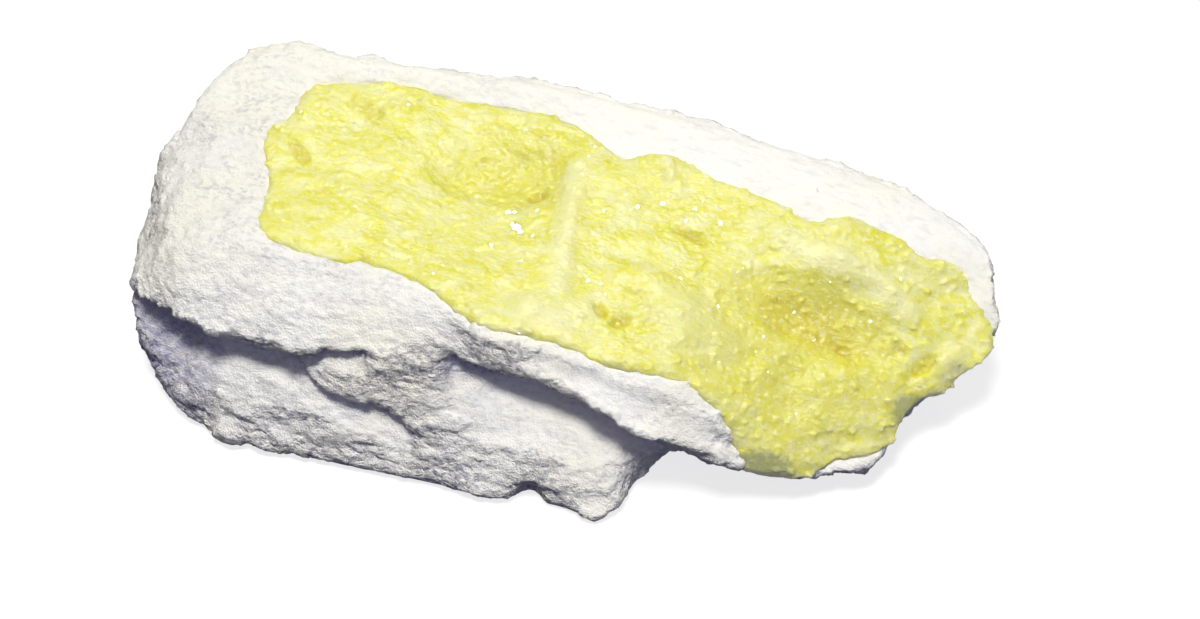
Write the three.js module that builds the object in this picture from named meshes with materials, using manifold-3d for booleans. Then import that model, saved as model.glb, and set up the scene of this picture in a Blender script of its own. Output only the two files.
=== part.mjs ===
// Native sulfur on a white host rock: a hand specimen, in millimetres, +Z up.
//
// The stone lies along X on its broken underside. Its thick end is at -X, its long back rim runs
// along +Y, and its ledged front faces -Y. A seam of granular sulfur fills a trough in the top and
// runs out over the right end, where the rock under it is broken away.
//
// The stone is skinned through cross sections. Each section joins the same named edges, which run
// the length of the stone from one tip to the other, as a hull is drawn from its lines.
import * as THREE from 'three';
import { LoftGeometry } from 'three/addons/geometries/LoftGeometry.js';
import { ImprovedNoise } from 'three/addons/math/ImprovedNoise.js';
import { mergeVertices } from 'three/addons/utils/BufferGeometryUtils.js';
import Module from 'manifold-3d';

const wasm = await Module();
wasm.setup();

// Driving dimensions. The edges below are drawn for a stone of DRAWN_LENGTH, and LENGTH sets its size.
const LENGTH = 118;
const DRAWN_LENGTH = 118;
const SCALE = LENGTH / DRAWN_LENGTH;
const JOINT_GAP = 0.3; // between the sulfur and the rock it grew on
const SEAM_EDGE_DEPTH = 4; // thickness of the sulfur at the seam's outline
const SEAM_BED_CENTRE = [ 5, - 6, 17.5 ]; // lowest point of the trough under the sulfur

// Skin of the stone.
const STONE_SECTIONS = 50;
const POINTS_PER_EDGE = 3;
const SECTION_TENSION = 0.32; // roundness of a section between its edges
const TIP_SHARE = 0.012; // how near its tips the skin is closed by a small facet
const TIP_CROWDING = 0.6; // 0 spaces the sections evenly, 1 draws them to the tips

// Broken surface: two sizes of unevenness, as [wavelength, height], and where the noise is read.
const UNEVENNESS = [ [ 12, 0.9 ], [ 5.2, 0.45 ] ];
const NOISE_ORIGIN = [ 17.3, 49, 70.4 ];

// Bed of the seam.
const SEAM_OUTLINE_POINTS = 92;
const SEAM_BED_RINGS = [ 0.08, 0.3, 0.52, 0.76, 1 ]; // shares of the way from its centre to its rim
const ABOVE_THE_STONE = 45;

const WELD_DISTANCE = 1e-4;

// Both ends of every edge.
const leftTip = [ - 59, - 8, 17 ];
const rightTip = [ 59.6, 2.2, 14 ];

// The edges in the order that a section meets them: up the back, over the top, down the front.
const edges = {
	backFoot: [ [ - 57.5, - 1, 9 ], [ - 51, 8, 2 ], [ - 38, 15, - 1 ], [ - 10, 18, - 1 ],
		[ 18, 18, - 1 ], [ 36, 15, 2 ], [ 48, 11, 6 ], [ 56, 6, 11 ] ],
	backBulge: [ [ - 58.5, - 1, 16 ], [ - 54, 9, 15 ], [ - 43, 17, 14 ], [ - 22, 20.5, 14 ],
		[ 2, 21.5, 15 ], [ 22, 21, 15 ], [ 38, 19, 14 ], [ 49, 15.5, 14 ], [ 56.5, 9, 13 ] ],
	backRim: [ [ - 58.5, - 4, 21.5 ], [ - 57, 2.5, 26 ], [ - 51.5, 12.5, 30 ], [ - 44, 14.2, 32 ],
		[ - 24, 15.2, 32 ], [ - 1, 17.2, 30.5 ], [ 13, 18.5, 29 ], [ 25, 17.4, 27.5 ], [ 36, 16.8, 26 ],
		[ 45, 16, 24.3 ], [ 52, 14, 22.5 ], [ 56.5, 10, 20 ], [ 58.6, 6, 17.5 ] ],
	seamBack: [ [ - 57.6, - 4.5, 23.5 ], [ - 50, 4, 29 ], [ - 40.5, 8, 31 ], [ - 25, 10.8, 31 ],
		[ - 4, 11.5, 29.8 ], [ 14, 9.5, 28.4 ], [ 32, 6.5, 26.3 ], [ 45, 7.8, 23.6 ], [ 53.5, 7, 19.5 ],
		[ 57.5, 4, 16 ] ],
	seamMiddle: [ [ - 57.6, - 9, 23.3 ], [ - 48, - 6, 28 ], [ - 39, - 4, 29 ], [ - 25, - 3, 28 ],
		[ - 12, - 1, 26 ], [ 0, - 4, 26.5 ], [ 13, - 7, 25 ], [ 24, - 8, 21.5 ], [ 35, - 6, 19 ],
		[ 46, - 4, 16 ], [ 55, - 0.5, 14 ] ],
	seamFront: [ [ - 57.6, - 13, 21.8 ], [ - 48, - 16, 26.3 ], [ - 39, - 16, 27.5 ],
		[ - 27, - 18, 26.5 ], [ - 20, - 16, 26 ], [ - 6, - 22, 25 ], [ 4, - 21, 23.5 ],
		[ 13, - 21.3, 21.3 ], [ 22.5, - 20.3, 19 ], [ 29, - 21, 14.5 ], [ 38, - 18, 10.5 ],
		[ 46.5, - 13, 9.8 ], [ 54, - 4.2, 12.4 ] ],
	shoulder: [ [ - 57, - 17, 19.5 ], [ - 50, - 22, 23 ], [ - 40, - 23, 23.8 ], [ - 28, - 23.5, 23.5 ],
		[ - 16, - 22, 23.2 ], [ - 5, - 24, 22.6 ], [ 5, - 23, 21.4 ], [ 14, - 24.2, 18.8 ],
		[ 23, - 23.3, 16 ], [ 30, - 23.7, 11 ], [ 38, - 20.5, 8 ], [ 47.5, - 14.4, 8 ],
		[ 54.6, - 5, 11.3 ], [ 57.6, - 1.2, 13 ] ],
	lip: [ [ - 57.5, - 20, 17.5 ], [ - 57.5, - 23, 16.5 ], [ - 52, - 25.5, 17.5 ],
		[ - 46, - 27.5, 18.5 ], [ - 35, - 28.8, 19 ], [ - 25, - 27, 19.8 ], [ - 12, - 24.5, 20 ],
		[ - 4, - 24.8, 19.5 ], [ 3.2, - 25, 19.5 ], [ 9.3, - 26.2, 18 ], [ 16.3, - 27.9, 15.2 ],
		[ 24.3, - 26.4, 12.7 ], [ 30.2, - 25, 9.2 ], [ 36, - 21, 6 ], [ 41, - 20.2, 5 ], [ 47.4, - 15.6, 6 ],
		[ 50, - 9.5, 8.4 ], [ 54.8, - 5, 10.3 ], [ 57.4, - 1.4, 12.2 ] ],
	recess: [ [ - 57, - 21, 14.5 ], [ - 51, - 22, 14.3 ], [ - 45, - 22.8, 14.8 ], [ - 36, - 24.2, 15 ],
		[ - 25, - 28.2, 14.5 ], [ - 14, - 27.4, 14.5 ], [ - 4, - 22.6, 15 ], [ 5, - 21.3, 13.6 ],
		[ 12, - 22, 12 ], [ 18, - 22.3, 9.5 ], [ 26, - 20, 7 ], [ 36, - 17, 4 ], [ 45, - 12, 4.5 ],
		[ 53, - 4, 7.5 ] ],
	belly: [ [ - 57, - 22.5, 11.5 ], [ - 51.5, - 26.5, 8.5 ], [ - 42, - 29.6, 8 ], [ - 30, - 30.8, 8 ],
		[ - 18, - 30.3, 8.3 ], [ - 6, - 29.3, 8.8 ], [ 4, - 28.3, 8.6 ], [ 12, - 28.8, 7 ],
		[ 16.5, - 25, 6 ], [ 20.5, - 18.5, 5 ], [ 30, - 14.5, 3.5 ], [ 40, - 11, 3 ],
		[ 50, - 4, 5.3 ] ],
	frontFoot: [ [ - 57, - 18, 9 ], [ - 53.5, - 25.2, 3.5 ], [ - 46, - 29.8, - 0.5 ],
		[ - 38.5, - 31.5, - 1 ], [ - 21, - 32.3, - 1 ], [ - 3, - 31.8, - 1 ], [ 5, - 30.8, - 1 ],
		[ 14, - 31, - 0.5 ], [ 16.5, - 24, 0.5 ], [ 19.5, - 15, 1 ], [ 30, - 9.5, 1.5 ],
		[ 42, - 5, 2.5 ], [ 50, - 1.5, 5 ] ],
	keel: [ [ - 56, - 8, 9 ], [ - 50, - 8, 0.5 ], [ - 42, - 8, - 2 ], [ - 10, - 7, - 2.5 ],
		[ 14, - 6, - 2 ], [ 24, 0, - 1 ], [ 36, 4, 1 ], [ 49, 4, 4.8 ], [ 56, 3.5, 9.5 ] ],
};

// Outline of the seam, anticlockwise from above, with the height at which it meets the surface.
// Past the stone's right and front sides it runs clear of the rock, so the sulfur shows there.
const seamOutline = [
	[ 58.4, 1.2, 15 ], [ 57.6, 3.6, 16 ], [ 55.5, 5.3, 18 ], [ 53, 7.5, 19.7 ], [ 48, 7, 22.5 ],
	[ 43, 8.3, 24.2 ], [ 37.5, 8.2, 25.5 ], [ 33, 5.8, 26.3 ], [ 27, 7.3, 27 ], [ 17, 8.3, 28.2 ],
	[ 12, 10.3, 28.6 ], [ 4.5, 8, 29 ], [ - 1, 11.2, 29.5 ], [ - 14, 11.5, 30.5 ], [ - 35, 9.9, 31 ],
	[ - 40.5, 7.8, 31 ], [ - 40.3, 3.2, 30.6 ], [ - 43.2, 1, 30 ], [ - 42.6, - 3.5, 29.5 ],
	[ - 40.6, - 6.5, 29 ], [ - 39.2, - 15.9, 27.5 ], [ - 27, - 17.4, 26.5 ], [ - 20.5, - 16.6, 26.1 ],
	[ - 13, - 19, 25.6 ], [ - 6, - 22.1, 25 ], [ 3.5, - 21, 23.5 ], [ 12, - 21.5, 21.5 ],
	[ 22, - 20.3, 19 ], [ 28, - 21.6, 14.7 ], [ 31.5, - 23.8, 12 ], [ 37, - 26.5, 9 ],
	[ 48, - 22, 9.5 ], [ 58.5, - 9, 11.5 ],
];

const noise = new ImprovedNoise();

function toVector( [ x, y, z ] ) {

	return new THREE.Vector3( x, y, z ).multiplyScalar( SCALE );

}

// Roughens a point of the drawn surface. The same point always moves to the same place.
function breakUp( point ) {

	const moved = point.clone();
	const origin = new THREE.Vector3( ...NOISE_ORIGIN );
	for ( const [ wavelength, height ] of UNEVENNESS ) {

		const at = point.clone().divideScalar( wavelength * SCALE ).add( origin );
		moved.x += height * SCALE * noise.noise( at.x, at.y, at.z );
		moved.y += height * SCALE * noise.noise( at.y, at.z, at.x );
		moved.z += height * SCALE * noise.noise( at.z, at.x, at.y );

	}

	return moved;

}

// A manifold solid from a closed geometry. Only its positions are kept, so its vertices merge.
function solidOf( geometry ) {

	const bare = new THREE.BufferGeometry();
	bare.setAttribute( 'position', geometry.getAttribute( 'position' ) );
	bare.setIndex( geometry.getIndex() );
	const merged = mergeVertices( bare, WELD_DISTANCE );
	return new wasm.Manifold( new wasm.Mesh( {
		numProp: 3,
		vertProperties: merged.attributes.position.array,
		triVerts: new Uint32Array( merged.index.array ),
	} ) );

}

// The largest piece of a solid: a cut can leave crumbs where two surfaces graze.
function mainPiece( solid ) {

	const pieces = solid.decompose();
	return pieces.reduce( ( best, piece ) => ( piece.volume() > best.volume() ? piece : best ) );

}

// A three.js geometry from a manifold solid, moved by an offset.
function geometryOf( solid, offset ) {

	const { vertProperties, triVerts } = solid.getMesh();
	const shared = new THREE.BufferGeometry();
	shared.setAttribute( 'position', new THREE.BufferAttribute( vertProperties, 3 ) );
	shared.setIndex( new THREE.BufferAttribute( triVerts, 1 ) );
	shared.translate( offset.x, offset.y, offset.z );
	const geometry = shared.toNonIndexed();
	geometry.computeVertexNormals();
	return geometry;

}

// The whole stone before the seam is parted from it, standing on a flat break at z = 0.
function makeStone() {

	const curves = Object.values( edges ).map( ( points ) =>
		new THREE.CatmullRomCurve3( [ leftTip, ...points, rightTip ].map( toVector ) ) );
	const sections = [];
	for ( let i = 0; i <= STONE_SECTIONS; i ++ ) {

		// Sections crowd towards the tips, where the stone turns quickest.
		const evenShare = i / STONE_SECTIONS;
		const crowded = ( 1 - Math.cos( Math.PI * evenShare ) ) / 2;
		const along = THREE.MathUtils.lerp( evenShare, crowded, TIP_CROWDING );
		const share = THREE.MathUtils.lerp( TIP_SHARE, 1 - TIP_SHARE, along );
		const corners = curves.map( ( curve ) => curve.getPointAt( share ) );
		const loop = new THREE.CatmullRomCurve3( corners, true, 'catmullrom', SECTION_TENSION );
		const points = loop.getPoints( corners.length * POINTS_PER_EDGE );
		points.pop();
		sections.push( points.map( breakUp ) );

	}

	const rough = solidOf( new LoftGeometry( sections, { capStart: true, capEnd: true } ) );
	const floorBlock = new THREE.BoxGeometry( 2 * LENGTH, 2 * LENGTH, LENGTH ).translate( 0, 0, - LENGTH / 2 );
	return mainPiece( rough.subtract( solidOf( floorBlock ) ) );

}

// The space of the seam, open to above: its outline, and under it a trough. Clearance widens it.
function makeSeamSpace( clearance ) {

	const outline = new THREE.CatmullRomCurve3( seamOutline.map( toVector ), true, 'centripetal' );
	const centre = toVector( SEAM_BED_CENTRE );
	const shares = Array.from( { length: SEAM_OUTLINE_POINTS }, ( _, i ) => i / SEAM_OUTLINE_POINTS );
	const outward = shares.map( ( share ) => {

		const heading = outline.getTangentAt( share ).setZ( 0 ).normalize();
		return new THREE.Vector3( heading.y, - heading.x, - 1 ).multiplyScalar( clearance );

	} );
	const rim = shares.map( ( share ) => {

		const point = outline.getPointAt( share );
		point.z -= SEAM_EDGE_DEPTH * SCALE;
		return point;

	} );
	const rings = SEAM_BED_RINGS.map( ( spread ) =>
		rim.map( ( point, i ) => centre.clone().lerp( point, spread ).add( outward[ i ] ) ) );
	const mouth = rings.at( - 1 ).map( ( point ) => point.clone().setZ( ABOVE_THE_STONE * SCALE ) );
	return solidOf( new LoftGeometry( [ ...rings, mouth ], { capStart: true, capEnd: true } ) );

}

const stone = makeStone();
const hostRock = mainPiece( stone.subtract( makeSeamSpace( JOINT_GAP ) ) );
const sulfurSeam = mainPiece( stone.intersect( makeSeamSpace( 0 ) ) );

// The origin is under the middle of the specimen's box, on the surface that it stands on.
const { min, max } = stone.boundingBox();
const middle = new THREE.Vector3( ...min ).lerp( new THREE.Vector3( ...max ), 0.5 );
const toOrigin = new THREE.Vector3( - middle.x, - middle.y, - min[ 2 ] );

const chalkWhite = new THREE.MeshStandardMaterial( { color: 0xf3efe2, roughness: 0.95, metalness: 0 } );
const sulfurYellow = new THREE.MeshStandardMaterial( { color: 0xeee45a, roughness: 0.4, metalness: 0 } );

function makeMesh( name, solid, material ) {

	const mesh = new THREE.Mesh( geometryOf( solid, toOrigin ), material );
	mesh.name = name;
	return mesh;

}

const specimen = new THREE.Group();
specimen.add( makeMesh( 'host_rock', hostRock, chalkWhite ) );
specimen.add( makeMesh( 'sulfur_seam', sulfurSeam, sulfurYellow ) );

export default specimen;
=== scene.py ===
import math
import random

import bpy
import numpy
from mathutils import Matrix, Vector, bvhtree


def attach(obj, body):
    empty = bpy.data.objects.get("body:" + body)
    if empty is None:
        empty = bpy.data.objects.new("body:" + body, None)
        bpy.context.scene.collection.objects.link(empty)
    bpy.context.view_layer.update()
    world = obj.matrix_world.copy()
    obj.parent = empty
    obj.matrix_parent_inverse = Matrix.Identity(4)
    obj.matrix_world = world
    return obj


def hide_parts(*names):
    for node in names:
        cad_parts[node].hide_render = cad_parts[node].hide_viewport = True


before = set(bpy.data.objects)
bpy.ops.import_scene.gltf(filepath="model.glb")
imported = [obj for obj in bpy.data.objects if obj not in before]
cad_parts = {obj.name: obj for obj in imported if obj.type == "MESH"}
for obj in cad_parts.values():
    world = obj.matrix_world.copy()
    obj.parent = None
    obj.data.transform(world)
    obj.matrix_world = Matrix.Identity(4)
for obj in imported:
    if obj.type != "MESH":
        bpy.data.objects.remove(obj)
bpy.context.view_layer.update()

millimetre = 0.001
groupLevels = 10  # steps of weight in a vertex group


def deselectAll():
    if bpy.context.object and bpy.context.object.mode != "OBJECT":
        bpy.ops.object.mode_set(mode="OBJECT")
    bpy.ops.object.select_all(action="DESELECT")


def makeActive(piece):
    deselectAll()
    piece.select_set(True)
    bpy.context.view_layer.objects.active = piece


def copyOfNode(node, name):
    piece = bpy.data.objects.new(name, bpy.data.objects[node].data.copy())
    piece.data.name = name
    piece.data.materials.clear()
    bpy.context.scene.collection.objects.link(piece)
    makeActive(piece)
    bpy.ops.object.mode_set(mode="EDIT")
    bpy.ops.mesh.select_all(action="SELECT")
    bpy.ops.mesh.remove_doubles(threshold=0.01 * millimetre)
    bpy.ops.mesh.normals_make_consistent(inside=False)
    bpy.ops.object.mode_set(mode="OBJECT")
    return piece


def applyModifier(piece, kind, **settings):
    makeActive(piece)
    modifier = piece.modifiers.new(kind.title(), kind)
    for name, value in settings.items():
        setattr(modifier, name, value)
    bpy.ops.object.modifier_apply(modifier=modifier.name)


def voxelRemesh(piece, size):
    applyModifier(piece, "REMESH", mode="VOXEL", voxel_size=size * millimetre)


def readPoints(piece):
    points = numpy.empty(len(piece.data.vertices) * 3)
    piece.data.vertices.foreach_get("co", points)
    return points.reshape(-1, 3) / millimetre


def readNormals(piece):
    normals = numpy.empty(len(piece.data.vertices) * 3)
    piece.data.vertices.foreach_get("normal", normals)
    return normals.reshape(-1, 3)


def writePoints(piece, points):
    piece.data.vertices.foreach_set("co", (points * millimetre).ravel())
    piece.data.update()


def writeAttribute(piece, name, values):
    attribute = piece.data.attributes.new(name, "FLOAT", "POINT")
    attribute.data.foreach_set("value", numpy.clip(values, 0, 1).astype(numpy.float32))


def smoothStep(low, high, value):
    share = numpy.clip((value - low) / (high - low), 0, 1)
    return share * share * (3 - 2 * share)


def breakSurface(piece, relief):
    # each entry roughens one painted group at one size of lump, in millimetres
    for index, lump in enumerate(relief):
        texture = bpy.data.textures.new(f"{piece.name}Lumps{index}", "CLOUDS")
        texture.noise_scale = 1.0
        texture.noise_basis = lump.get("basis", "ORIGINAL_PERLIN")
        texture.noise_depth = lump.get("depth", 1)
        texture.noise_type = lump.get("noise", "SOFT_NOISE")
        # a temporary empty stretches and turns the pattern
        deselectAll()
        bpy.ops.object.empty_add(location=(0, 0, 0))
        guide = bpy.context.object
        guide.rotation_euler = [math.radians(angle) for angle in lump.get("turn", (0, 0, 0))]
        guide.scale = [value * millimetre for value in lump["size"]]
        bpy.context.view_layer.update()
        applyModifier(piece, "DISPLACE", texture=texture, texture_coords="OBJECT",
                      texture_coords_object=guide, strength=lump["height"] * millimetre,
                      mid_level=lump.get("middle", 0.5), vertex_group=lump["group"])
        bpy.data.objects.remove(guide)
        bpy.data.textures.remove(texture)


def paintGroup(piece, name, weights):
    group = piece.vertex_groups.new(name=name)
    levels = numpy.round(numpy.clip(weights, 0, 1) * groupLevels).astype(int)
    for level in range(1, groupLevels + 1):
        chosen = numpy.nonzero(levels == level)[0]
        if len(chosen):
            group.add(chosen.tolist(), level / groupLevels, "REPLACE")


def insidePatch(points, patch):
    # 1 at the middle of an oval patch, 0 outside it
    away = (points - patch["at"]) / patch["reach"]
    return numpy.clip(1 - (away ** 2).sum(1), 0, 1)


def pull(piece, pulls):
    points = readPoints(piece)
    for each in pulls:
        share = insidePatch(points, each) ** 1.3
        points += share[:, None] * numpy.array(each["move"])
    writePoints(piece, points)


def direction(azimuth, elevation):
    # azimuth 0 points to the front, 90 to the right
    across = math.cos(math.radians(elevation))
    return Vector((math.sin(math.radians(azimuth)) * across, -math.cos(math.radians(azimuth)) * across,
                   math.sin(math.radians(elevation))))


rockShape = {
    "coarseVoxel": 0.8,
    "fineVoxel": 0.4,
    "kept": 0.68,  # share of the faces left after thinning the flatter places
    # places moved a little: centre, reach and move
    "pulls": [
        {"at": (24, -17, 8), "reach": (9, 5, 5), "move": (0.2, -0.9, -0.8)},
        {"at": (38, -15, 7), "reach": (10, 5, 5), "move": (0.4, -1.1, -0.9)},
        {"at": (46, -10, 7.5), "reach": (6, 5, 5), "move": (1.0, -0.8, -0.7)},
        {"at": (51.5, -3.5, 10), "reach": (4.5, 4, 5), "move": (-0.9, 1.1, 0.9)},
        {"at": (58, 6, 14), "reach": (4, 6, 5), "move": (1.2, 0.3, -0.2)},
        {"at": (54.5, 16, 20), "reach": (5, 5, 6), "move": (0.8, 0.8, 0.3)},
        {"at": (-57.5, -9, 22), "reach": (6, 9, 5), "move": (1.5, -0.2, -0.2)},
        {"at": (-59, -17.5, 18), "reach": (3.5, 4, 3), "move": (1.3, 0.3, 0)},
        {"at": (-51, -20, 8), "reach": (6, 6, 7), "move": (0.9, 0.7, 0.2)},
        {"at": (-40.5, -26, 2.5), "reach": (2.6, 3, 3), "move": (-0.2, -1.6, -0.3)},
        {"at": (-34, -26.5, 3), "reach": (6, 3, 3), "move": (0, -0.9, -0.2)},
        {"at": (2.4, -27, 1.5), "reach": (2.8, 3, 4), "move": (0, 2.4, 0.9)},
        {"at": (15.5, -21, 5), "reach": (4, 5, 6), "move": (-1.2, 0, 0)},
        {"at": (12, -26.5, 1.5), "reach": (3, 3, 3), "move": (0.3, -1.0, -0.2)},
    ],
    # a place low on the left where painted shade darkens the rock
    "shadedLowLeft": {"at": (-55, -19, 7), "reach": (14, 12, 11)},
    # ledges across the front: x and z of the overhang's edge, how deep it is undercut, how tall
    "ledges": [
        {"edge": [(-58, 17.2), (-53, 17.6), (-49, 18.6), (-45, 18.6), (-41, 17.4), (-37, 16.6), (-33, 16.0)],
         "depth": 2.3, "height": 6.0},
        {"edge": [(-37, 16.2), (-32, 14.4), (-27, 12.2), (-22, 11.4), (-18, 10.2), (-14, 8.6)],
         "depth": 2.2, "height": 4.6},
        {"edge": [(-33, 17.6), (-29, 18.0), (-25, 18.8), (-21, 19.4)], "depth": 2.4, "height": 3.8},
        {"edge": [(-12, 18.8), (-9, 19.4), (-5, 19.0), (-2, 18.4), (3, 17.4), (7, 16.4), (10, 15.4)],
         "depth": 2.5, "height": 6.5},
        {"edge": [(8, 14.6), (12, 13.4), (16, 11.6), (19, 9.6)], "depth": 1.8, "height": 4.5},
    ],
    # how the undercuts fade out; each fade is over at its second number
    "hollow": {"facing": (0.05, 0.4), "front": (-8, -12), "lip": (-0.2, 0.9), "foot": 1.2,
               "ends": (-1, 2.5), "lift": 0.25},
    # borders of the zones of the surface; each zone is full at its second number
    "zones": {
        "aboveFloor": (0.2, 2.0),  # height
        "bedFacing": (0.1, 0.5),  # how far it looks forward
        "bedBehind": (0, 4),  # y
        "steep": (0.8, 0.35),  # how far it looks up
        "front": (2, -6),  # y
        "rightBlock": (6, 13),  # x
        "left": (-22, -38),  # x and a share of y
        "rimAcross": (-20, 5),  # x
        "rimLevel": (0.2, 0.7),  # how far it looks up
        "rimBehind": (-14, -4),  # y
        "back": (4, 16),  # y
    },
    # lumps of the broken surface, largest first: size, height and the zone that they are in
    "relief": [
        {"size": (8, 6, 6), "height": 1.5, "group": "broken", "basis": "IMPROVED_PERLIN"},
        {"size": (7, 5, 3.2), "turn": (0, 14, 10), "height": -1.5, "middle": 0.35, "depth": 2,
         "noise": "HARD_NOISE", "group": "front"},
        {"size": (13, 9, 7), "turn": (0, -16, 8), "height": -2.4, "middle": 0.35, "depth": 2,
         "noise": "HARD_NOISE", "group": "back"},
        {"size": (4.6, 3.0, 2.2), "turn": (0, 12, 12), "height": -1.2, "middle": 0.35, "depth": 3,
         "noise": "HARD_NOISE", "group": "rough"},
        {"size": (2.0, 1.4, 1.1), "turn": (0, 12, 12), "height": -0.7, "middle": 0.35, "depth": 3,
         "noise": "HARD_NOISE", "group": "rough"},
        {"size": (1.2, 0.9, 0.8), "turn": (0, 12, 12), "height": 0.6, "depth": 3, "group": "rough"},
        {"size": (2.8, 2.0, 1.8), "turn": (0, 9, 15), "height": 0.45, "depth": 3, "group": "broken"},
        {"size": (0.9, 0.8, 0.8), "height": 0.4, "depth": 2, "group": "all"},
    ],
}


def underLedge(points, ledge, hollow):
    # how far inside the hollow under one ledge each point is
    x, y, z = points.T
    edge = numpy.array(ledge["edge"], dtype=float)
    below = numpy.interp(x, edge[:, 0], edge[:, 1]) - z
    outer, inner = hollow["ends"]
    ends = smoothStep(edge[0, 0] + outer, edge[0, 0] + inner, x)
    ends = ends * smoothStep(edge[-1, 0] - outer, edge[-1, 0] - inner, x)
    height = smoothStep(*hollow["lip"], below) * smoothStep(ledge["height"], hollow["foot"], below)
    return smoothStep(*hollow["front"], y) * ends * height


def undercut(piece, ledges, hollow):
    points = readPoints(piece)
    facing = smoothStep(*hollow["facing"], -readNormals(piece)[:, 1])
    for ledge in ledges:
        push = ledge["depth"] * facing * underLedge(points, ledge, hollow)
        points[:, 1] += push
        points[:, 2] += hollow["lift"] * push
    writePoints(piece, points)


rock = copyOfNode("host_rock", "chalkyRock")
voxelRemesh(rock, rockShape["coarseVoxel"])
print("rock: merged and remeshed,", len(rock.data.polygons), "faces")

pull(rock, rockShape["pulls"])
undercut(rock, rockShape["ledges"], rockShape["hollow"])
voxelRemesh(rock, rockShape["fineVoxel"])

zones = rockShape["zones"]
x, y, z = readPoints(rock).T
rockNormals = readNormals(rock)
forward, upward = -rockNormals[:, 1], rockNormals[:, 2]
aboveFloor = smoothStep(*zones["aboveFloor"], z)
bedWall = smoothStep(*zones["bedFacing"], forward) * smoothStep(*zones["bedBehind"], y)
steep = smoothStep(*zones["steep"], upward) * (1 - bedWall)
lowerFace = steep * smoothStep(*zones["front"], y) * (1 - 0.65 * smoothStep(*zones["rightBlock"], x))
leftSlope = smoothStep(*zones["left"], x + 0.6 * y)
rim = smoothStep(*zones["rimLevel"], upward) * smoothStep(*zones["rimBehind"], y)
rimRight = smoothStep(*zones["rimAcross"], x) * rim
rough = numpy.maximum(numpy.maximum(steep, 0.5 * leftSlope), 0.25 * (1 - rimRight))
paintGroup(rock, "all", aboveFloor)
paintGroup(rock, "broken", aboveFloor * (1 - 0.7 * rimRight))
paintGroup(rock, "rough", aboveFloor * rough)
paintGroup(rock, "front", aboveFloor * lowerFace)
paintGroup(rock, "back", aboveFloor * steep * (1 - lowerFace))
breakSurface(rock, rockShape["relief"])
rock.vertex_groups.clear()

# nothing of the broken surface reaches under the floor
rockPoints = readPoints(rock)
rockPoints[:, 2] = numpy.maximum(rockPoints[:, 2], 0)
writePoints(rock, rockPoints)

# where painted shade darkens the rock's colour: under the ledges, and in a patch low on the left
crevice = 0.85 * insidePatch(rockPoints, rockShape["shadedLowLeft"]) ** 0.5
hidden = smoothStep(0.75, 0.4, upward)
for ledge in rockShape["ledges"]:
    crevice = numpy.maximum(crevice, underLedge(rockPoints, ledge, rockShape["hollow"]) * hidden)
writeAttribute(rock, "crevice", crevice)
# steep and rough faces: the bump is stronger there, and the pits get more painted shade
worn = numpy.maximum(numpy.maximum(0.95 * lowerFace, 0.6 * steep), 0.7 * rough)
writeAttribute(rock, "worn", worn * (1 - 0.5 * smoothStep(*zones["back"], rockPoints[:, 1])))
applyModifier(rock, "DECIMATE", ratio=rockShape["kept"])
makeActive(rock)
bpy.ops.object.shade_smooth()
print("rock: ledges and broken surface,", len(rock.data.polygons), "faces")


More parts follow.
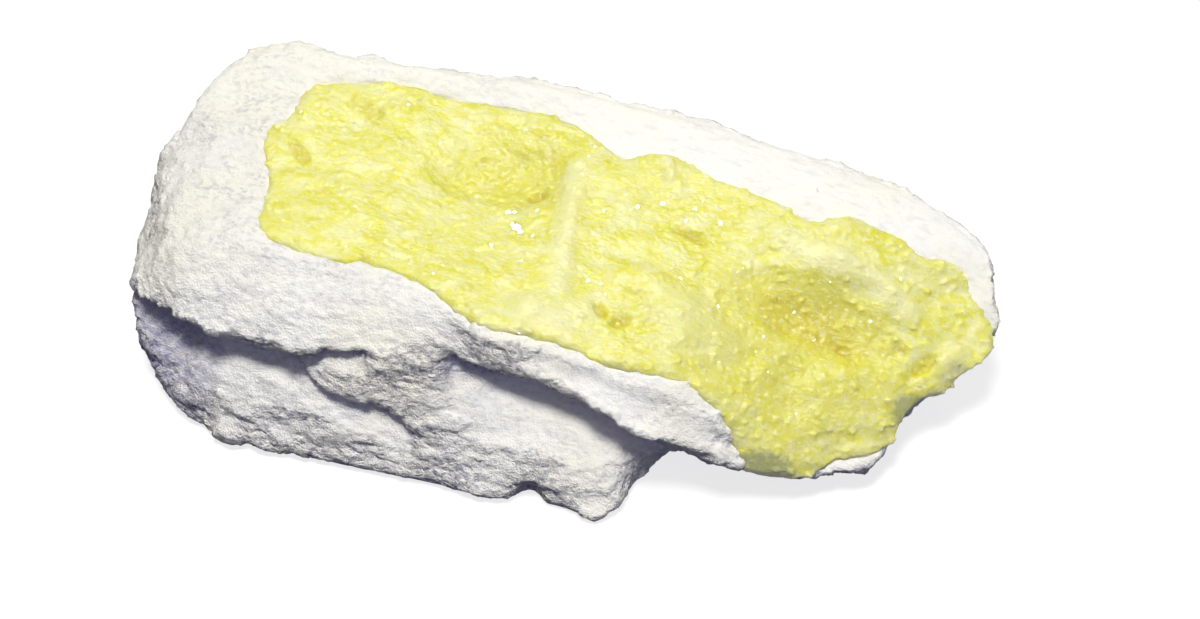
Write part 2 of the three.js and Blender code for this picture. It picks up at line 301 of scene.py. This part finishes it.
sulfurShape = {
    "coarseVoxel": 0.7,
    "fineVoxel": 0.25,
    "overlap": 0.85,  # how far the sulfur grows into the rock
    "kept": 0.57,  # share of the faces left after thinning
    # bumps and hollows of the top, from above: place, reach along and across, turn, height, how golden (a
    # deeper amber, partly the sulfur's own colour and partly painted shade in the hollows)
    "bumps": [
        {"at": (-8.5, 8.8), "reach": (11, 6.5), "turn": -8, "rise": -1.7, "gold": 0.45},
        {"at": (-4.9, 6.2), "reach": (2.0, 1.3), "turn": 30, "rise": -1.2, "gold": 1.0},
        {"at": (-38.4, 3.2), "reach": (3.0, 1.2), "turn": -40, "rise": -0.5, "gold": 0.75},
        {"at": (-31, 12), "reach": (4, 1.6), "turn": -25, "rise": -0.4, "gold": 0.6},
        {"at": (-17.4, 5.6), "reach": (5, 2.6), "turn": -20, "rise": -0.9, "gold": 0.4},
        {"at": (17.2, 5.1), "reach": (3.6, 0.9), "turn": -8, "rise": -0.8, "gold": 0.8},
        {"at": (8.3, -9.6), "reach": (1.9, 1.0), "turn": -30, "rise": -1.5, "gold": 0.85},
        {"at": (11.3, -10.2), "reach": (2.0, 0.9), "turn": 30, "rise": -1.5, "gold": 0.85},
        {"at": (20.0, -7.2), "reach": (8, 5), "turn": -15, "rise": 1.6, "gold": 0},
        {"at": (12.5, -4), "reach": (5, 3.5), "turn": 0, "rise": 0.7, "gold": 0},
        {"at": (36, 0.4), "reach": (13.5, 5.5), "turn": 2, "rise": -2.4, "gold": 0.75},
        {"at": (32.0, -1.4), "reach": (4, 1.6), "turn": 12, "rise": -0.9, "gold": 0.75},
        {"at": (40.2, -0.8), "reach": (2.6, 1.3), "turn": -10, "rise": -1.2, "gold": 0.95},
        {"at": (48.0, 1.3), "reach": (1.6, 0.9), "turn": 0, "rise": -0.8, "gold": 0.8},
        {"at": (42.5, -6.5), "reach": (9, 5), "turn": 10, "rise": 0.9, "gold": 0},
        # a broad deeper amber toward the right end, partly painted shade
        {"at": (32, -6), "reach": (20, 12), "turn": 15, "rise": 0, "gold": 0.42},
        {"at": (55.0, 2.6), "reach": (3.4, 2.0), "turn": 50, "rise": 1.5, "gold": 0},
        {"at": (51.3, 0.4), "reach": (3.4, 1.1), "turn": 48, "rise": -1.3, "gold": 0.7},
        {"at": (-24, -12.2), "reach": (1.3, 2.2), "turn": 30, "rise": -1.0, "gold": 0.9},
        {"at": (-16.3, -15.5), "reach": (1.7, 1.2), "turn": 40, "rise": -1.0, "gold": 0.8},
    ],
    # places where the sulfur's low edge is darkened to olive grey: partly rock dust, partly painted shade
    "dusty": [
        {"at": (33.5, -18.5, 8), "reach": (7, 3.2, 4)},
        {"at": (28.5, -17.5, 9), "reach": (3, 3, 3.5)},
        {"at": (50.5, -4.0, 9.0), "reach": (5, 3.4, 3)},
    ],
    # raised crests, from above: their line, half width and height
    "crests": [
        {"line": [(-0.6, 10.4), (0.2, 5.0), (0.6, 0.0), (1.4, -4.6), (2.2, -8.6)], "half": 2.1, "rise": 0.55},
        {"line": [(11.2, 15.0), (12.4, 12.6)], "half": 1.0, "rise": 0.5},
        {"line": [(-1, -12.5), (3.5, -12.7), (6, -11.4)], "half": 3.0, "rise": 0.5},
        {"line": [(29, 8.5), (35, 7.8), (42, 7.5), (48, 5.6)], "half": 2.2, "rise": 0.8},
    ],
    "lowered": 0.45,  # how far the whole top is let down first
    "palerAbove": 1.2,  # a bump that rises more than this is paler
    "relief": [
        {"size": (6, 4, 4), "height": 1.4, "group": "top", "basis": "IMPROVED_PERLIN"},
        {"size": (3.0, 1.9, 1.7), "height": 0.5, "depth": 2, "group": "top"},
    ],
}


def insideBump(points, bump):
    turn = math.radians(bump["turn"])
    dx = points[:, 0] - bump["at"][0]
    dy = points[:, 1] - bump["at"][1]
    along = (dx * math.cos(turn) + dy * math.sin(turn)) / bump["reach"][0]
    across = (dy * math.cos(turn) - dx * math.sin(turn)) / bump["reach"][1]
    return numpy.clip(1 - along ** 2 - across ** 2, 0, 1)


def distanceToLine(points, line):
    nearest = numpy.full(len(points), 1e9)
    for start, end in zip(line[:-1], line[1:]):
        start = numpy.array(start)
        step = numpy.array(end) - start
        share = numpy.clip(((points[:, :2] - start) @ step) / (step @ step), 0, 1)
        gap = points[:, :2] - start - share[:, None] * step
        nearest = numpy.minimum(nearest, numpy.hypot(gap[:, 0], gap[:, 1]))
    return nearest


def insideCrest(points, crest):
    return numpy.clip(1 - (distanceToLine(points, crest["line"]) / crest["half"]) ** 2, 0, 1)


def raiseTop(piece, shape):
    points = readPoints(piece)
    top = smoothStep(0.0, 0.4, readNormals(piece)[:, 2])
    points[:, 2] -= shape["lowered"] * top
    for bump in shape["bumps"]:
        points[:, 2] += bump["rise"] * top * insideBump(points, bump) ** 1.5
    for crest in shape["crests"]:
        points[:, 2] += crest["rise"] * top * insideCrest(points, crest) ** 1.2
    writePoints(piece, points)


sulfur = copyOfNode("sulfur_seam", "sulfurMass")
applyModifier(sulfur, "DISPLACE", strength=sulfurShape["overlap"] * millimetre, mid_level=0.0)
voxelRemesh(sulfur, sulfurShape["coarseVoxel"])
pull(sulfur, rockShape["pulls"])
raiseTop(sulfur, sulfurShape)
paintGroup(sulfur, "top", smoothStep(-0.1, 0.3, readNormals(sulfur)[:, 2]))
breakSurface(sulfur, sulfurShape["relief"])
sulfur.vertex_groups.clear()
print("sulfur: hollows and crests,", len(sulfur.data.polygons), "faces")


crystalShape = {
    "seed": 11,
    # kinds of crystal: sides, width of the cap, height, and how far the lower half leans
    "kinds": {
        "bluntCrystal": (4, 0.45, 0.85, 0.1),
        "sixSidedCrystal": (6, 0.5, 0.7, 0.05),
        "longCrystal": (4, 0.6, 1.3, 0.2),
        "flatCrystal": (5, 0.7, 0.45, 0.0),
    },
    "open": {"lowest": -0.35, "lift": 0.1, "reach": 6.0},  # which faces of the mass bear crystals
    "sunk": {"count": 9500, "size": (0.26, 0.6), "classes": (0.7, 0.85, 1.0, 1.25), "depth": 0.68,
             "wander": 0.4, "jitter": 0.06, "stretch": (1.5, 1.0, 0.9)},
}
random.seed(crystalShape["seed"])


def makeCrystal(name, sides, cap, height, lean):
    # half of a blunt double pyramid, with a lower half drawn out of its base
    deselectAll()
    bpy.ops.mesh.primitive_cone_add(vertices=sides, radius1=1.0, radius2=cap, depth=height,
                                    location=(0, 0, height / 2))
    crystal = bpy.context.object
    crystal.name = name
    bpy.ops.object.transform_apply(location=True, rotation=True, scale=True)
    bpy.ops.object.mode_set(mode="EDIT")
    bpy.ops.mesh.select_all(action="SELECT")
    bpy.ops.transform.resize(value=(1.0, 0.8, 1.0))
    bpy.ops.object.mode_set(mode="OBJECT")
    for face in crystal.data.polygons:
        face.select = face.normal.z < -0.9
    bpy.ops.object.mode_set(mode="EDIT")
    bpy.ops.mesh.select_mode(type="FACE")
    bpy.ops.mesh.extrude_region_move(TRANSFORM_OT_translate={"value": (lean, 0, -height)})
    bpy.ops.transform.resize(value=(cap + 0.15, cap + 0.1, 1.0))
    bpy.ops.mesh.select_all(action="SELECT")
    bpy.ops.mesh.normals_make_consistent(inside=False)
    bpy.ops.object.mode_set(mode="OBJECT")
    return crystal


def openFaces(piece, blocker, settings):
    # faces of the piece that nothing covers and that do not look down
    tree = bvhtree.BVHTree.FromObject(blocker, bpy.context.evaluated_depsgraph_get())
    found = []
    for face in piece.data.polygons:
        if face.normal.z < settings["lowest"]:
            continue
        start = face.center + face.normal * settings["lift"] * millimetre
        if tree.ray_cast(start, face.normal, settings["reach"] * millimetre)[0] is None:
            found.append((face.center.copy(), face.normal.copy(), face.area))
    return found


def growCrystals(name, kinds, places, settings):
    # one mesh that holds every copy of the crystals, each turned and sized on its own
    shapes = []
    for kind in kinds:
        corners = numpy.array([vertex.co for vertex in kind.data.vertices])
        shapes.append((corners, [list(face.vertices) for face in kind.data.polygons]))
    areas = [area for center, normal, area in places]
    corners, faces = [], []
    total = 0
    for center, normal, area in random.choices(places, areas, k=settings["count"]):
        shapeCorners, shapeFaces = random.choice(shapes)
        size = random.uniform(*settings["size"]) * millimetre * random.choice(settings["classes"])
        wander = Vector([random.gauss(0, 1) for axis in range(3)])
        toward = (normal + wander * settings["wander"]).normalized()
        spin = Matrix.Rotation(random.uniform(0, math.tau), 3, "Z")
        turn = toward.to_track_quat("Z", "X").to_matrix() @ spin
        jitter = wander.cross(normal) * settings["jitter"] * millimetre
        place = center + jitter - normal * settings["depth"] * size
        turned = shapeCorners @ numpy.array(turn).T * settings["stretch"]
        corners.append(turned * size + numpy.array(place))
        faces.extend([[index + total for index in face] for face in shapeFaces])
        total += len(shapeCorners)
    mesh = bpy.data.meshes.new(name)
    mesh.from_pydata(numpy.concatenate(corners).tolist(), [], faces)
    mesh.update()
    piece = bpy.data.objects.new(name, mesh)
    bpy.context.scene.collection.objects.link(piece)
    return piece


def joinInto(piece, others):
    deselectAll()
    for other in others:
        other.select_set(True)
    piece.select_set(True)
    bpy.context.view_layer.objects.active = piece
    bpy.ops.object.join()


def keepLargest(piece):
    # drops the sealed pores left inside when crystals grow together
    makeActive(piece)
    bpy.ops.object.mode_set(mode="EDIT")
    bpy.ops.mesh.select_all(action="SELECT")
    bpy.ops.mesh.separate(type="LOOSE")
    bpy.ops.object.mode_set(mode="OBJECT")
    shells = sorted(bpy.context.selected_objects, key=lambda shell: len(shell.data.polygons))
    name = piece.name
    for shell in shells[:-1]:
        bpy.data.objects.remove(shell)
    shells[-1].name = name
    makeActive(shells[-1])
    return shells[-1]


crystalKinds = [makeCrystal(name, *kind) for name, kind in crystalShape["kinds"].items()]
openPlaces = openFaces(sulfur, rock, crystalShape["open"])
sunkCrystals = growCrystals("sunkCrystals", crystalKinds, openPlaces, crystalShape["sunk"])
for kind in crystalKinds:
    bpy.data.objects.remove(kind)
joinInto(sulfur, [sunkCrystals])
voxelRemesh(sulfur, sulfurShape["fineVoxel"])
applyModifier(sulfur, "SMOOTH", factor=0.5, iterations=1)
sulfur = keepLargest(sulfur)
applyModifier(sulfur, "DECIMATE", ratio=sulfurShape["kept"])
makeActive(sulfur)
bpy.ops.object.shade_smooth()
print("sulfur: crystals grown together,", len(sulfur.data.polygons), "faces")


glintShape = {
    # clear crystals with one flat face that catches the light, from above: x, y and radius
    "placed": [
        (-6.1, -0.2, 0.62), (-5.5, -0.7, 0.4), (-6.8, 0.2, 0.3), (-8.0, 2.3, 0.36), (-7.2, 2.5, 0.26),
        (-4.0, 2.9, 0.24), (-3.5, -1.2, 0.22), (-8.7, -4.1, 0.28), (9.2, 6.8, 0.28), (12.4, 8.5, 0.34),
        (16.8, 9.0, 0.36), (16.1, 7.0, 0.22), (20.7, 8.0, 0.3), (5.6, -5.9, 0.26), (7.4, -5.8, 0.22),
        (17.5, -1.6, 0.24), (-8.9, 14.6, 0.26), (1.2, 14.4, 0.22), (-13.9, -9.6, 0.22),
        (24.6, 2.2, 0.26), (33.0, 1.2, 0.22), (36.5, -1.0, 0.26), (30.0, -4.5, 0.24),
    ],
    "placedSpread": 3,  # degrees around the direction that they face
    "scattered": 100,
    "scatteredSize": (0.1, 0.22),
    "scatteredSpread": 9,
    "azimuth": 11,
    "elevation": 63.5,
    "castHeight": 40,  # they are let down onto the mass from here
    "castLift": 20,
}


def setGlints(name, piece, places, settings):
    # thin plates lying in the crystal mass, most of them tipped to one side
    tree = bvhtree.BVHTree.FromObject(piece, bpy.context.evaluated_depsgraph_get())
    spots = [(Vector((x, y, settings["castHeight"])) * millimetre, size, settings["placedSpread"])
             for x, y, size in settings["placed"]]
    lift = Vector((0, 0, settings["castLift"])) * millimetre
    for center, normal, area in random.choices(places, k=settings["scattered"]):
        spots.append((center + lift, random.uniform(*settings["scatteredSize"]), settings["scatteredSpread"]))
    plates = []
    for start, size, spread in spots:
        found, normal, index, distance = tree.ray_cast(start, Vector((0, 0, -1)))
        if found is None:
            continue
        size *= millimetre
        toward = direction(settings["azimuth"] + random.gauss(0, spread),
                           settings["elevation"] + random.gauss(0, spread * 0.6))
        deselectAll()
        bpy.ops.mesh.primitive_cylinder_add(vertices=random.choice((5, 6)), radius=size, depth=size * 0.9,
                                            location=found - toward * size * 0.3,
                                            rotation=toward.to_track_quat("Z", "Y").to_euler())
        plates.append(bpy.context.object)
    joinInto(plates[0], plates[1:])
    plates[0].name = name
    bpy.ops.object.transform_apply(location=True, rotation=True, scale=True)
    return plates[0]


crystals = setGlints("clearCrystals", sulfur, openPlaces, glintShape)
print("sulfur: clear crystals,", len(crystals.data.polygons), "faces")


def tintPiece(piece, shape):
    # how golden, how pale and how dusty the sulfur is at each point; the gold is partly painted shade in the
    # hollows, the dust partly painted shade on the low edge
    points = readPoints(piece)
    golden = numpy.zeros(len(points))
    pale = numpy.zeros(len(points))
    dusty = numpy.zeros(len(points))
    for bump in shape["bumps"]:
        golden = numpy.maximum(golden, insideBump(points, bump) ** 0.6 * bump["gold"])
        if bump["rise"] > shape["palerAbove"]:
            pale = numpy.maximum(pale, 0.7 * insideBump(points, bump))
    for crest in shape["crests"]:
        inside = insideCrest(points, crest)
        pale = numpy.maximum(pale, inside)
        golden = golden * (1 - inside)
    for patch in shape["dusty"]:
        dusty = numpy.maximum(dusty, numpy.clip(1.4 * insidePatch(points, patch), 0, 1))
    writeAttribute(piece, "golden", golden)
    writeAttribute(piece, "dusty", dusty)
    writeAttribute(piece, "pale", pale)


tintPiece(sulfur, sulfurShape)
tintPiece(crystals, sulfurShape)


class Wire:  # the output of a node, ready for sums
    def __init__(self, graph, socket):
        self.graph = graph
        self.socket = socket

    def work(self, operation, first, second):
        return self.graph.add("ShaderNodeMath", {"operation": operation}, {0: first, 1: second})

    def __add__(self, other):
        return self.work("ADD", self, other)

    def __radd__(self, other):
        return self.work("ADD", other, self)

    def __sub__(self, other):
        return self.work("SUBTRACT", self, other)

    def __rsub__(self, other):
        return self.work("SUBTRACT", other, self)

    def __mul__(self, other):
        return self.work("MULTIPLY", self, other)

    def __rmul__(self, other):
        return self.work("MULTIPLY", other, self)


class Graph:
    def __init__(self, name):
        self.material = bpy.data.materials.new(name)
        self.material.use_nodes = True
        self.tree = self.material.node_tree
        self.tree.nodes.clear()
        self.place = self.add("ShaderNodeTexCoord", {}, {}, "Object")

    def add(self, kind, settings, sockets, output=0):
        node = self.tree.nodes.new(kind)
        for name, value in settings.items():
            setattr(node, name, value)
        for name, value in sockets.items():
            if isinstance(value, Wire):
                self.tree.links.new(value.socket, node.inputs[name])
            else:
                node.inputs[name].default_value = value
        return Wire(self, node.outputs[output]) if len(node.outputs) else None

    def noise(self, size, detail, stretch=(1, 1, 1), turn=0.0):
        # size is the width of one lump in millimetres
        mapped = self.add("ShaderNodeMapping", {}, {
            "Vector": self.place,
            "Rotation": (0, math.radians(turn), 0),
            "Scale": [1 / (size * millimetre * value) for value in stretch]})
        return self.add("ShaderNodeTexNoise", {}, {"Vector": mapped, "Scale": 1.0, "Detail": detail})

    def cells(self, size):
        return self.add("ShaderNodeTexVoronoi", {}, {"Vector": self.place, "Scale": 1 / (size * millimetre)})

    def between(self, value, low, high, share=1.0):
        # 0 below the low level, rising to the share at the high one
        return self.add("ShaderNodeMapRange", {}, {
            "Value": value, "From Min": low, "From Max": high, "To Max": share})

    def pattern(self, levels, share=1.0, **lumps):
        return self.between(self.noise(**lumps), *levels, share)

    def patterns(self, finish):
        return {name: self.pattern(**settings) for name, settings in finish.items()}

    def blend(self, factor, first, second):
        return self.add("ShaderNodeMix", {"data_type": "RGBA"}, {"Factor": factor, 6: first, 7: second}, 2)

    def attribute(self, name):
        return self.add("ShaderNodeAttribute", {"attribute_name": name}, {}, "Fac")

    def bump(self, height, distance, strength):
        return self.add("ShaderNodeBump", {}, {
            "Height": height, "Distance": distance * millimetre, "Strength": strength})

    def finish(self, sockets):
        surface = self.add("ShaderNodeBsdfPrincipled", {}, sockets)
        self.add("ShaderNodeOutputMaterial", {}, {"Surface": surface})
        return self.material


rockFinish = {
    "white": (0.945, 0.94, 0.905, 1),
    "warm": (0.945, 0.925, 0.84, 1),
    "grey": (0.70, 0.69, 0.71, 1),
    "tan": (0.64, 0.51, 0.34, 1),
    # painted shade: dark violet specks in the pits, and violet-grey under the ledges and low on the left
    "pitShade": (0.17, 0.165, 0.29, 1),
    "shaded": (0.35, 0.34, 0.57, 1),
    # lump width in millimetres, and the levels of the noise between which each pattern comes in
    "patterns": {
        "patches": {"size": 12, "detail": 3, "levels": (0.42, 0.66)},
        "streaks": {"size": 1.0, "detail": 4, "stretch": (3.2, 1, 1), "turn": 6,
                    "levels": (0.52, 0.74), "share": 0.42},
        "specks": {"size": 1.6, "detail": 2, "levels": (0.70, 0.78), "share": 0.8},
        "dirt": {"size": 9, "detail": 2, "levels": (0.5, 0.62)},
        "mottle": {"size": 1.1, "detail": 5, "levels": (0.3, 0.6), "share": 0.6},
        "shadedPits": {"size": 0.6, "detail": 5, "stretch": (1.5, 1, 1), "turn": 10, "levels": (0.49, 0.60)},
        "clumps": {"size": 3.2, "detail": 5, "stretch": (1.5, 1, 1), "turn": 10,
                   "levels": (0.44, 0.60), "share": 0.6},
    },
    "grain": {"size": 0.3, "detail": 5},
    "coarse": {"size": 0.9, "detail": 4, "stretch": (1.6, 1, 1), "turn": 8},
    "bumpHeight": 0.9,
    "roughness": 0.92,
    "specular": 0.25,
}


def chalk(name, finish):
    graph = Graph(name)
    worn = graph.attribute("worn")
    crevice = graph.attribute("crevice")
    pattern = graph.patterns(finish["patterns"])
    colour = graph.blend(pattern["patches"], finish["white"], finish["warm"])
    colour = graph.blend(pattern["streaks"], colour, finish["grey"])
    colour = graph.blend(pattern["specks"] * pattern["dirt"], colour, finish["tan"])
    # painted shade, violet-grey, under the ledges and low on the left
    colour = graph.blend(crevice * (0.25 + pattern["mottle"]), colour, finish["shaded"])
    # dark specks of painted shade in the pits, most on steep rough faces and under the ledges
    shadedPits = pattern["shadedPits"] * (0.16 + pattern["clumps"] + crevice * 0.4)
    colour = graph.blend(shadedPits * (0.07 + worn * 0.84), colour, finish["pitShade"])
    height = graph.noise(**finish["grain"]) * 0.6 + graph.noise(**finish["coarse"]) * 0.8
    normal = graph.bump(height * (0.3 + worn * 0.7), finish["bumpHeight"], 1.0)
    return graph.finish({"Base Color": colour, "Roughness": finish["roughness"], "Normal": normal,
                         "Specular IOR Level": finish["specular"]})


sulfurFinish = {
    "lemon": (0.76, 0.738, 0.07, 1),
    "bright": (0.81, 0.79, 0.19, 1),
    "pale": (0.85, 0.845, 0.48, 1),
    "deep": (0.71, 0.67, 0.06, 1),
    # amber: partly the sulfur's own colour, partly painted shade in the hollows
    "golden": (0.65, 0.54, 0.04, 1),
    # pale flecks: partly pale grains, partly painted glints
    "fleck": (0.88, 0.875, 0.52, 1),
    # olive grey of the low edge: partly rock dust, partly painted shade
    "dustShade": (0.36, 0.38, 0.15, 1),
    "patterns": {
        "broad": {"size": 6, "detail": 3, "stretch": (1.6, 1, 1), "levels": (0.38, 0.64)},
        "patches": {"size": 2.6, "detail": 4, "stretch": (1.5, 1, 1), "levels": (0.48, 0.66), "share": 0.7},
        "sugar": {"size": 0.8, "detail": 4, "stretch": (1.8, 1, 1), "turn": -6,
                  "levels": (0.44, 0.60), "share": 0.5},
        "pockets": {"size": 3.4, "detail": 3, "stretch": (1.4, 1, 1), "levels": (0.60, 0.74), "share": 0.6},
        # pale flecks, partly pale grains and partly painted glints
        "flecks": {"size": 0.5, "detail": 2, "stretch": (1.5, 1, 1), "turn": -8,
                   "levels": (0.57, 0.66), "share": 0.6},
    },
    "grain": {"size": 0.4, "detail": 3, "stretch": (1.8, 1, 1), "turn": -6},
    "facets": 0.6,  # width of one cell
    "bumpHeight": 0.2,
    "ior": 1.7,
    "glowRadius": (1.0, 0.92, 0.3),
    "glowScale": 1.6,
    # the mass glows from within; the clear crystals are smooth and do not
    "mass": {"depth": 0.75, "roughest": 0.6, "unevenness": 0.9},
    "clear": {"depth": 0.0, "roughest": 0.22, "unevenness": 0.03},
}


def sulfurYellow(name, finish, kind):
    graph = Graph(name)
    # amber in the hollows: partly real colour, partly painted shade
    golden = graph.attribute("golden") + (graph.noise(1.1, 4) - 0.5) * 0.7
    # olive grey on the low edge: partly rock dust, partly painted shade
    dusty = graph.attribute("dusty") + (graph.noise(0.7, 5) - 0.5) * 1.6
    pattern = graph.patterns(finish["patterns"])
    layers = [
        (pattern["patches"], "pale"),
        (pattern["sugar"], "pale"),
        (pattern["pockets"], "deep"),
        (graph.between(golden, 0.05, 0.5, 0.7), "deep"),
        (graph.between(golden, 0.55, 0.85, 0.85), "golden"),
        (graph.attribute("pale") * 0.7, "pale"),
        # pale flecks: partly pale grains, partly painted glints
        (pattern["flecks"], "fleck"),
        (graph.between(dusty, 0.2, 0.9, 0.85), "dustShade"),
    ]
    colour = graph.blend(pattern["broad"], finish["lemon"], finish["bright"])
    for factor, layer in layers:
        colour = graph.blend(factor, colour, finish[layer])
    height = graph.noise(**finish["grain"]) * 0.8 + graph.cells(finish["facets"]) * 0.3
    normal = graph.bump(height, finish["bumpHeight"], kind["unevenness"])
    roughness = kind["roughest"] - graph.noise(1.1, 2) * 0.2
    return graph.finish({
        "Base Color": colour, "Roughness": roughness, "Normal": normal, "IOR": finish["ior"],
        "Subsurface Weight": kind["depth"], "Subsurface Radius": finish["glowRadius"],
        "Subsurface Scale": finish["glowScale"] * millimetre})


rock.data.materials.append(chalk("chalk", rockFinish))
for piece, kind in ((sulfur, "mass"), (crystals, "clear")):
    piece.data.materials.clear()
    piece.data.materials.append(sulfurYellow(piece.name + "Yellow", sulfurFinish, sulfurFinish[kind]))
print("materials: chalk and sulfur")

for piece in (rock, sulfur, crystals):
    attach(piece, "root")
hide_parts("host_rock")
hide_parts("sulfur_seam")


studio = {
    "floorSize": 3.0,
    "floorColour": (0.3, 0.3, 0.3, 1),
    "floorGlow": 0.76,
    "camera": {"aim": (5.2, 1.9, 10.0), "azimuth": 15.0, "elevation": 50.0, "distance": 470.0, "lens": 100.0},
    # each light: direction from the stone as azimuth and elevation, distance and width in metres
    "lights": [
        {"name": "overhead", "azimuth": 0, "elevation": 88, "distance": 0.9, "size": 2.0, "power": 3.6,
         "colour": (1.0, 0.98, 0.90)},
        {"name": "key", "azimuth": 0, "elevation": 77, "distance": 1.1, "size": 0.2, "power": 10.5,
         "colour": (1.0, 0.985, 0.92)},
        {"name": "frontFill", "azimuth": 15, "elevation": 32, "distance": 1.4, "size": 1.2, "power": 2.5,
         "colour": (0.43, 0.43, 1.0)},
        {"name": "rearFill", "azimuth": 200, "elevation": 1, "distance": 1.4, "size": 1.2, "power": 10.0,
         "colour": (0.93, 0.95, 1.0)},
        {"name": "sideFill", "azimuth": 95, "elevation": 4, "distance": 1.4, "size": 1.0, "power": 5.0,
         "colour": (0.8, 0.82, 1.0)},
    ],
}

deselectAll()
bpy.ops.mesh.primitive_plane_add(size=studio["floorSize"])
floor = bpy.context.object
floor.name = "studioFloor"
floorGraph = Graph("palePaper")
floor.data.materials.append(floorGraph.finish({
    "Base Color": studio["floorColour"], "Roughness": 0.9,
    "Emission Color": (1, 1, 1, 1), "Emission Strength": studio["floorGlow"]}))
floor.visible_diffuse = False  # the paper is shown, and throws no light up at the stone

for settings in studio["lights"]:
    toward = direction(settings["azimuth"], settings["elevation"])
    deselectAll()
    bpy.ops.object.light_add(type="AREA", location=toward * settings["distance"])
    light = bpy.context.object
    light.name = settings["name"]
    light.rotation_euler = toward.to_track_quat("Z", "Y").to_euler()
    light.data.size = settings["size"]
    light.data.energy = settings["power"]
    light.data.color = settings["colour"]

world = bpy.data.worlds.new("studioWorld")
bpy.context.scene.world = world
world.use_nodes = True
world.node_tree.nodes["Background"].inputs["Color"].default_value = (1, 1, 1, 1)
world.cycles_visibility.diffuse = False
world.cycles_visibility.glossy = False

view = studio["camera"]
away = direction(view["azimuth"], view["elevation"]) * view["distance"]
deselectAll()
bpy.ops.object.camera_add(location=(Vector(view["aim"]) + away) * millimetre)
camera = bpy.context.object
camera.rotation_euler = (math.radians(90 - view["elevation"]), 0, math.radians(view["azimuth"]))
camera.data.lens = view["lens"]
bpy.context.scene.camera = camera
bpy.context.scene.view_settings.view_transform = "Standard"
print("studio: floor, lights and camera")
